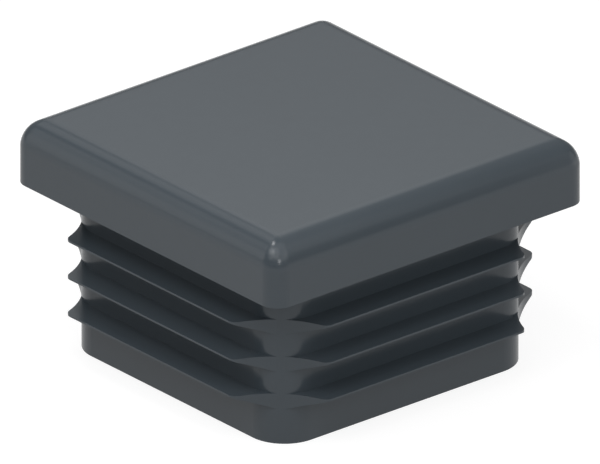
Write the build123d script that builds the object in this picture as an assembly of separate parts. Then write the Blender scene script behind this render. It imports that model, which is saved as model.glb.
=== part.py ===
from build123d import *
import os
from math import radians, sqrt, tan

# Square tube end cap: a one-piece moulded plug that closes the open end of a square tube.
# It stands on the rim of its hollow shank with the head up, and Z = 0 is that rim.
# The centre line of the tube is the Z axis, and the flat sides face along X and Y.

# Head: the square block that stays outside the tube
HEAD_WIDTH = 40.0
HEAD_HEIGHT = 6.7
HEAD_CORNER_RADIUS = 1.9
HEAD_TOP_RADIUS = 2.8
TOP_SKIN = 3.0

# Shank: the hollow square box that goes into the tube
SHANK_WIDTH = 32.7
SHANK_HEIGHT = 17.4
SHANK_CORNER_RADIUS = 4.0
SHANK_WALL = 2.0

# Hollow inside the shank, open at the rim, a little narrower towards its ceiling
HOLLOW_DRAFT_ANGLE = 0.8
HOLLOW_CEILING_RADIUS = 0.8
HOLLOW_LEAST_CORNER_RADIUS = 1.6

# Fins: thin ledges round the shank, flat on top and sloping underneath, that grip the tube
FIN_COUNT = 3
FIN_PITCH = 4.0
FIN_REACH = 2.94
FIN_TIP_HEIGHT = 0.2
FIN_UNDERSIDE_ANGLE = 21.0

# Corner relief: a hollow arc takes the fins away round each upright edge of the shank, and a
# small radius rounds each fin's end where that arc meets the tip line
RELIEF_RADIUS = 9.4
RELIEF_BITE = 0.03
FIN_END_RADIUS = 1.0

# How deep a fin's root reaches into the shank, and how far a cut runs past what it cuts
ROOT_DEPTH = 0.3
CUT_OVERRUN = 1.0

TOTAL_HEIGHT = SHANK_HEIGHT + HEAD_HEIGHT


def diagonal_reach(width, corner_radius):
    """Distance from the centre line to the rounded upright edge of a square column."""
    return width / sqrt(2) - corner_radius * (sqrt(2) - 1)


def is_corner_edge(edge):
    """True for an upright edge and for the slanting edge between two rolled sides."""
    middle = edge.position_at(0.5)
    on_diagonal = abs(abs(middle.X) - abs(middle.Y)) < 0.001
    return on_diagonal and edge.bounding_box().size.Z > HEAD_TOP_RADIUS / 2


def head():
    """Square block: the top edges are rolled first, then a smaller radius runs up each corner."""
    block = extrude(Plane.XY.offset(SHANK_HEIGHT) * Rectangle(HEAD_WIDTH, HEAD_WIDTH), HEAD_HEIGHT)
    top_edges = block.faces().sort_by(Axis.Z)[-1].edges()
    rolled = fillet(top_edges, HEAD_TOP_RADIUS)
    return fillet(rolled.edges().filter_by(is_corner_edge), HEAD_CORNER_RADIUS)


def shank():
    """Rounded square column from the rim into the head."""
    outline = RectangleRounded(SHANK_WIDTH, SHANK_WIDTH, SHANK_CORNER_RADIUS)
    return extrude(outline, SHANK_HEIGHT + HEAD_HEIGHT / 2)


def fin(top):
    """One ledge round all four sides, flat on top, with a blunt tip over an underside that slopes inwards.
    It runs past the tip line, where the plan of the fins trims it."""
    tip = SHANK_WIDTH / 2 + FIN_REACH
    untrimmed = tip + CUT_OVERRUN
    root = diagonal_reach(SHANK_WIDTH, SHANK_CORNER_RADIUS) / sqrt(2) - ROOT_DEPTH
    tip_bottom = top - FIN_TIP_HEIGHT
    root_bottom = tip_bottom - (tip - root) * tan(radians(FIN_UNDERSIDE_ANGLE))
    outline = Polyline(
        (root, top), (untrimmed, top), (untrimmed, tip_bottom), (tip, tip_bottom), (root, root_bottom),
        close=True)
    corners = [(tip, tip, top), (-tip, tip, top), (-tip, -tip, top), (tip, -tip, top)]
    way_round = Polyline((tip, 0, top), *corners, (tip, 0, top))
    return sweep(Plane.XZ * make_face(outline), path=way_round, transition=Transition.RIGHT)


def fin_plan():
    """The fins from above: a square whose corners are hollow arcs back to the shank's rounded edges."""
    width = SHANK_WIDTH + 2 * FIN_REACH
    nearest = diagonal_reach(SHANK_WIDTH, SHANK_CORNER_RADIUS) - RELIEF_BITE
    spacing = (nearest + RELIEF_RADIUS) * sqrt(2)
    plan = Rectangle(width, width) - GridLocations(spacing, spacing, 2, 2) * Circle(RELIEF_RADIUS)
    return fillet(plan.vertices(), FIN_END_RADIUS)


def fins():
    """The ledges, one pitch apart, counted down from the underside of the head."""
    stack = [fin(SHANK_HEIGHT - level * FIN_PITCH) for level in range(1, FIN_COUNT + 1)]
    return (Part() + stack) & extrude(fin_plan(), SHANK_HEIGHT)


def hollow():
    """The space inside the shank, from below the rim up to the skin of the head."""
    width = SHANK_WIDTH - 2 * SHANK_WALL
    corner_radius = max(SHANK_CORNER_RADIUS - SHANK_WALL, HOLLOW_LEAST_CORNER_RADIUS)
    outline = RectangleRounded(width, width, corner_radius)
    space = extrude(outline, TOTAL_HEIGHT - TOP_SKIN, taper=HOLLOW_DRAFT_ANGLE)
    ceiling_edges = space.faces().sort_by(Axis.Z)[-1].edges()
    space = fillet(ceiling_edges, HOLLOW_CEILING_RADIUS)
    below_rim = extrude(outline, -CUT_OVERRUN)
    return space + below_rim


def end_cap():
    return head() + shank() + fins() - hollow()


os.makedirs("parts", exist_ok=True)
cap = end_cap()
cap.label = "end_cap"
export_step(cap, "parts/end_cap.step")
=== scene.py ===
from math import cos, pi, radians, sin

import bmesh
import bpy
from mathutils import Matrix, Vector


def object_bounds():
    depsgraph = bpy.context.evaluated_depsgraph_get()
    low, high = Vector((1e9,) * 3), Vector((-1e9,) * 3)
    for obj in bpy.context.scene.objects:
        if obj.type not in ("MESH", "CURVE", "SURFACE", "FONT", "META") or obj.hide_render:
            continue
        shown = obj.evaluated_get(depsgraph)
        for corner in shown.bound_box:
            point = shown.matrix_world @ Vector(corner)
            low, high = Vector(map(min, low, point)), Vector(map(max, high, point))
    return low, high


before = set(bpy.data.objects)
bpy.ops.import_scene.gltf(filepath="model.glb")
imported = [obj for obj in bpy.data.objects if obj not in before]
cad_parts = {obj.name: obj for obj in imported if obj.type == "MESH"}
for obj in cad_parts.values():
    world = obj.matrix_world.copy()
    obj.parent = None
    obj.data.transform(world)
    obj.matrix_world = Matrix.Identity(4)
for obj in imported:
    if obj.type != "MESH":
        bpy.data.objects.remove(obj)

# Square tube end cap, moulded in anthracite plastic, standing on its rim on a pale floor.
# All lengths are in metres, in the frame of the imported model.

cad_low, cad_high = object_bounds()
HEAD_MIDDLE = Vector((0, 0, cad_high.z))

# The photograph is a parallel view, so these few numbers fix its camera. PHOTO_CENTRE is the point on
# the part's upright centre line that lies in the middle of the picture.
PHOTO_WIDTH_PIXELS = 600
PIXELS_PER_METRE = 10212.8
VIEW_AZIMUTH = radians(-40)
VIEW_ELEVATION = radians(25)
PHOTO_CENTRE = Vector((0, 0, 0.012916))
CAMERA_DISTANCE = 0.4

# Plastic. Its clouds, mottle and grain are noises from 0 to 1, about 11 mm, 1.4 mm and 0.2 mm across.
PLASTIC_COLOUR = (0.064, 0.081, 0.096, 1)
PLASTIC_ROUGHNESS = 0.22
PLASTIC_IOR = 1.5
CLOUD_SCALE = 90
MOTTLE_SCALE = 700
GRAIN_SCALE = 5200
NOISE_MIDDLE = 0.5

# The colour gets darker and lighter by this share of itself, more with the clouds than with the mottle
COLOUR_SPREAD = 0.05
CLOUD_TONE_SHARE = 0.6

# How far a noise moves the roughness in all, from its lowest value to its highest
CLOUD_GLOSS_SPREAD = 0.06
GRAIN_GLOSS_SPREAD = 0.05

# The relief: a grain of this depth, with the mottle at a share of it underneath
GRAIN_STRENGTH = 0.2
GRAIN_DEPTH = 0.00002
MOTTLE_RELIEF_SHARE = 0.5

# Floor. To the part it is a grey card of FLOOR_BOUNCE. To the camera it is plain white but for
# SHADOW_SHARE, which takes the lamps' light and so shows the shadow. The colour of that share is
# FLOOR_SEEN, above 1, so that the open floor is white too. The part's gloss mirrors FLOOR_GLOSS_WHITE
# of plain white, and the grey card for the rest.
FLOOR_HALF_WIDTH = 0.6
FLOOR_BOUNCE = 0.35
FLOOR_SEEN = 1.9
SHADOW_SHARE = 0.15
FLOOR_GLOSS_WHITE = 0.7

# The world's light on the part. The camera sees the world itself at 1, which is white.
WORLD_LEVEL = 0.22

# Round soft boxes, aimed at the middle of the head's top: bearing from +X and height above it in
# degrees, distance and width in metres, and how bright the box itself is, where 1 is white
LAMPS = {
    # Soft light on the two sides that the photograph shows
    "key": (-102, 58, 0.22, 0.36, 0.65),
    "key_left": (-155, 50, 0.22, 0.2, 0.62),
    "left": (170, 50, 0.15, 0.07, 1.6),
    "left_middle": (-175, 38, 0.25, 0.13, 0.6),
    "front_middle": (-70, 32, 0.25, 0.13, 0.34),
    "front_low": (-80, 8, 0.25, 0.16, 0.12),
    # Cards that the flat top mirrors
    "back_card": (50, 31, 0.3, 0.18, 0.42),
    "back_card_high": (50, 45, 0.3, 0.15, 0.38),
    # Cards that the rolled edges of the head mirror
    "side_card": (135, 12, 0.25, 0.12, 0.74),
    "right_card": (-35, 5, 0.15, 0.1, 0.48),
    "roll_high": (89, 45, 0.25, 0.098, 0.64),
    "roll_middle": (125, 33, 0.25, 0.09, 0.52),
    "roll_right": (-48, 29, 0.25, 0.05, 0.2),
    "roll_back": (12, 50, 0.25, 0.15, 0.16),
    # Small bright disks for the three glints on the near corner of the head
    "spot_back": (118, 67, 0.2, 0.045, 10.0),
    "spot_left": (-167, 52, 0.2, 0.036, 5.2),
    "spot_front": (-120, 20, 0.2, 0.036, 8.0),
}


def grey(level):
    return level, level, level, 1


def shaded(colour, times):
    """A colour made darker or lighter, with its alpha as it was."""
    red, green, blue, alpha = colour
    return red * times, green * times, blue * times, alpha


class Value:
    """An output of a shader node. Arithmetic on it adds Math nodes to its recipe."""

    def __init__(self, recipe, socket):
        self.recipe = recipe
        self.socket = socket

    def math(self, operation, left, right):
        return self.recipe.node("ShaderNodeMath", {"operation": operation}, {0: left, 1: right})

    def __add__(self, other):
        return self.math("ADD", self, other)

    def __radd__(self, other):
        return self.math("ADD", other, self)

    def __sub__(self, other):
        return self.math("SUBTRACT", self, other)

    def __rsub__(self, other):
        return self.math("SUBTRACT", other, self)

    def __mul__(self, other):
        return self.math("MULTIPLY", self, other)

    def __rmul__(self, other):
        return self.math("MULTIPLY", other, self)


class Recipe:
    """The node tree of a material or of the world."""

    def __init__(self, tree):
        tree.nodes.clear()
        self.tree = tree

    def node(self, kind, settings=None, inputs=None, output=0):
        """Adds a node, sets it up, fills its sockets and gives back one of its outputs."""
        made = self.tree.nodes.new(kind)
        for name, value in (settings or {}).items():
            setattr(made, name, value)
        for name, value in (inputs or {}).items():
            if isinstance(value, Value):
                self.tree.links.new(value.socket, made.inputs[name])
            else:
                made.inputs[name].default_value = value
        return Value(self, made.outputs[output]) if made.outputs else None

    def mix_colours(self, share, first, second):
        """Colour between two colours, first where share is 0 and second where it is 1."""
        # Inputs 6 and 7 and output 2 are the colour sockets of this node
        return self.node(
            "ShaderNodeMix", {"data_type": "RGBA"}, {0: share, 6: first, 7: second}, output=2)

    def noise(self, place, scale, detail=2):
        return self.node(
            "ShaderNodeTexNoise", {}, {"Vector": place, "Scale": scale, "Detail": detail})


def new_material(name):
    material = bpy.data.materials.new(name)
    material.use_nodes = True
    return material, Recipe(material.node_tree)


def moulded_plastic():
    """Satin plastic out of a finely eroded mould: a little cloudy, with a soft grain."""
    material, recipe = new_material("anthracite_plastic")
    place = recipe.node("ShaderNodeTexCoord", output="Object")
    clouds = recipe.noise(place, CLOUD_SCALE, detail=3)
    mottle = recipe.noise(place, MOTTLE_SCALE)
    grain = recipe.noise(place, GRAIN_SCALE)
    colour = recipe.mix_colours(
        clouds * CLOUD_TONE_SHARE + mottle * (1 - CLOUD_TONE_SHARE),
        shaded(PLASTIC_COLOUR, 1 - COLOUR_SPREAD),
        shaded(PLASTIC_COLOUR, 1 + COLOUR_SPREAD))
    cloud_gloss = (clouds - NOISE_MIDDLE) * CLOUD_GLOSS_SPREAD
    grain_gloss = (grain - NOISE_MIDDLE) * GRAIN_GLOSS_SPREAD
    roughness = PLASTIC_ROUGHNESS + cloud_gloss + grain_gloss
    height = grain + mottle * MOTTLE_RELIEF_SHARE
    relief = recipe.node(
        "ShaderNodeBump", {},
        {"Strength": GRAIN_STRENGTH, "Distance": GRAIN_DEPTH, "Height": height})
    surface = recipe.node(
        "ShaderNodeBsdfPrincipled", {},
        {"Base Color": colour, "Roughness": roughness, "IOR": PLASTIC_IOR, "Normal": relief})
    recipe.node("ShaderNodeOutputMaterial", {}, {"Surface": surface})
    return material


def pale_floor():
    """White to the camera but for a soft shadow, and greyer in the light that it throws on the part."""
    material, recipe = new_material("pale_floor")
    camera = recipe.node("ShaderNodeLightPath", output="Is Camera Ray")
    glossy = recipe.node("ShaderNodeLightPath", output="Is Glossy Ray")
    colour = recipe.mix_colours(camera, grey(FLOOR_BOUNCE), grey(FLOOR_SEEN))
    lit = recipe.node("ShaderNodeBsdfDiffuse", {}, {"Color": colour})
    white = recipe.node("ShaderNodeEmission", {}, {"Color": grey(1), "Strength": 1})
    white_share = camera * (1 - SHADOW_SHARE) + glossy * FLOOR_GLOSS_WHITE
    # The two shader inputs share one name, so they are numbered
    surface = recipe.node("ShaderNodeMixShader", {}, {0: white_share, 1: lit, 2: white})
    recipe.node("ShaderNodeOutputMaterial", {}, {"Surface": surface})
    return material


def add_floor():
    mesh = bpy.data.meshes.new("floor")
    shape = bmesh.new()
    bmesh.ops.create_grid(shape, x_segments=1, y_segments=1, size=FLOOR_HALF_WIDTH)
    shape.to_mesh(mesh)
    shape.free()
    floor = bpy.data.objects.new("floor", mesh)
    bpy.context.scene.collection.objects.link(floor)
    mesh.materials.append(pale_floor())


def light_world():
    world = bpy.data.worlds.new("studio")
    bpy.context.scene.world = world
    world.use_nodes = True
    recipe = Recipe(world.node_tree)
    seen = recipe.node("ShaderNodeLightPath", output="Is Camera Ray")
    strength = WORLD_LEVEL + seen * (1 - WORLD_LEVEL)
    glow = recipe.node("ShaderNodeBackground", {}, {"Color": grey(1), "Strength": strength})
    recipe.node("ShaderNodeOutputWorld", {}, {"Surface": glow})


def add_lamp(name, bearing, height, distance, width, level):
    """A round soft box that lights the part and isn't seen by the camera."""
    lamp = bpy.data.lights.new(name, "AREA")
    lamp.shape = "DISK"
    lamp.size = width
    # A disk of radiance 1 gives off pi times its area
    lamp.energy = level * pi * (pi * width ** 2 / 4)
    holder = bpy.data.objects.new(name, lamp)
    bpy.context.scene.collection.objects.link(holder)
    away = Vector((
        cos(radians(height)) * cos(radians(bearing)),
        cos(radians(height)) * sin(radians(bearing)),
        sin(radians(height))))
    holder.location = HEAD_MIDDLE + away * distance
    holder.rotation_euler = (-away).to_track_quat("-Z", "Y").to_euler()
    holder.visible_camera = False


def add_camera():
    back = Vector((
        sin(VIEW_AZIMUTH) * cos(VIEW_ELEVATION),
        -cos(VIEW_AZIMUTH) * cos(VIEW_ELEVATION),
        sin(VIEW_ELEVATION)))
    data = bpy.data.cameras.new("camera")
    data.type = "ORTHO"
    data.ortho_scale = PHOTO_WIDTH_PIXELS / PIXELS_PER_METRE
    camera = bpy.data.objects.new("camera", data)
    bpy.context.scene.collection.objects.link(camera)
    camera.location = PHOTO_CENTRE + back * CAMERA_DISTANCE
    camera.rotation_euler = (-back).to_track_quat("-Z", "Y").to_euler()
    bpy.context.scene.camera = camera


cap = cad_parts["end_cap"]
cap.material_slots[0].material = moulded_plastic()

add_floor()
light_world()
for name, setting in LAMPS.items():
    add_lamp(name, *setting)
add_camera()

bpy.context.scene.view_settings.view_transform = "Standard"
